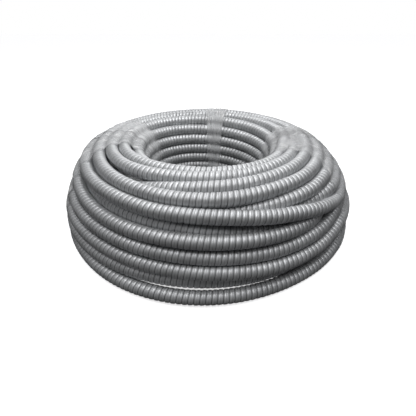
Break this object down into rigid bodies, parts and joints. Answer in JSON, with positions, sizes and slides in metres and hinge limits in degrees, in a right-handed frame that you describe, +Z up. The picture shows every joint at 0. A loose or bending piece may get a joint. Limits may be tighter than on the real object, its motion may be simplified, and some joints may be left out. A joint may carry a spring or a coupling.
{
  "type": "corrugated conduit coil",
  "caption": "Coil of flexible interlocked metal conduit with close round ribs, lying flat and held by clear film wraps.",
  "frame": {"origin": "centre of the coil on the floor it lies on", "axes": "+Z up along the coil's axis, -Y towards the viewer of the picture, +X to the picture's right"},
  "size_m": [0.3746, 0.3742, 0.1066],
  "materials": {
    "galvanised_strip": "satin",
    "clear_film": "gloss"
  },
  "bodies": {
    "root": {"conduit_coil": "galvanised_strip", "film_wrap_left": "clear_film", "film_wrap_back": "clear_film", "film_wrap_right": "clear_film"}
  },
  "joints": []
}
